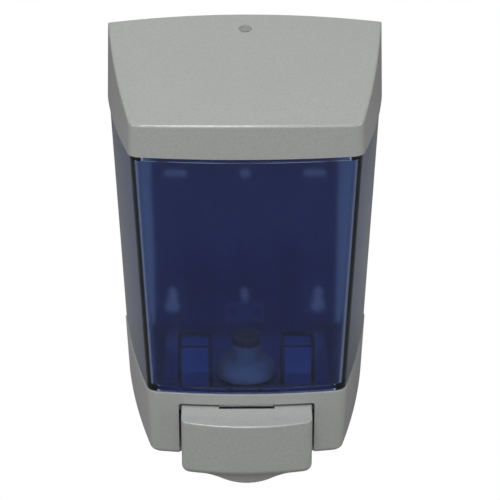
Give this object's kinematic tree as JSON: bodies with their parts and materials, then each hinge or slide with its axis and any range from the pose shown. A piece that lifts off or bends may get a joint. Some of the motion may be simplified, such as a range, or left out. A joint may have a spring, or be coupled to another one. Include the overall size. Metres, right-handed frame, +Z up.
{
  "type": "wall mounted soap dispenser",
  "caption": "Wall mounted bulk liquid soap dispenser with a see-through reservoir, hinged lid, lower housing and a push lever that works a plunger pump.",
  "frame": {"origin": "on the wall plane at the dispenser's middle line, 60.1 mm above the rim of the lower housing", "axes": "+Y points into the wall, so the front faces -Y; +Z is up; +X is to the right of someone facing the dispenser"},
  "size_m": [0.145, 0.113, 0.2206],
  "materials": {
    "grey_plastic": "satin moulded, fine pearl flake",
    "blue_clear_plastic": "polished, see-through blue",
    "plate_plastic": "fine moulded texture",
    "chassis_plastic": "moulded",
    "pump_plastic": "moulded",
    "strainer_plastic": "moulded",
    "lock_plastic": "moulded",
    "steel": "zinc plated",
    "clip_steel": "rolled sheet",
    "rubber": "moulded"
  },
  "bodies": {
    "base": {"wall_plate": "plate_plastic", "retaining_clip": "clip_steel", "clip_rivets": "steel", "reservoir": "blue_clear_plastic", "lid_hinge_pins": "steel", "pump_gasket": "rubber", "pump_barrel": "pump_plastic", "pump_nut": "pump_plastic", "stem_bush": "pump_plastic", "inlet_strainer": "strainer_plastic", "umbrella_valve": "rubber", "plunger_spring": "steel", "chassis": "chassis_plastic", "chassis_screws": "steel", "lower_housing": "grey_plastic", "housing_screws": "steel", "lever_pin": "steel"},
    "lid": {"lid": "grey_plastic"},
    "lock": {"lock_plug": "lock_plastic", "lock_cam": "steel", "cam_screw": "steel"},
    "lever": {"push_lever": "grey_plastic", "spout_shroud": "grey_plastic", "lever_yoke": "chassis_plastic", "yoke_screws": "steel"},
    "plunger": {"plunger": "pump_plastic", "piston_seal": "rubber", "duckbill_valve": "rubber"}
  },
  "joints": [
    {"name": "lid_hinge", "type": "hinge", "parent": "base", "child": "lid", "pos_m": [0, -0.013, 0.10419], "axis": [-1, 0, 0], "range_deg": [0, 75]},
    {"name": "lock_turn", "type": "hinge", "parent": "lid", "child": "lock", "pos_m": [0, -0.019, 0.1], "axis": [0, 0, 1], "range_deg": [0, 90]},
    {"name": "lever_push", "type": "hinge", "parent": "base", "child": "lever", "pos_m": [0, -0.088, -0.0715], "axis": [1, 0, 0], "range_deg": [0, 14], "stiffness_Nm_per_rad": 0.4, "springref_deg": -8.59},
    {"name": "plunger_slide", "type": "slide", "parent": "base", "child": "plunger", "axis": [0, 0, 1], "range_m": [0, 0.0069], "deforming": ["plunger_spring"]}
  ],
  "couplings": [
    {"joint": "plunger_slide", "follows": "lever_push", "m_per_rad": 0.0282}
  ]
}
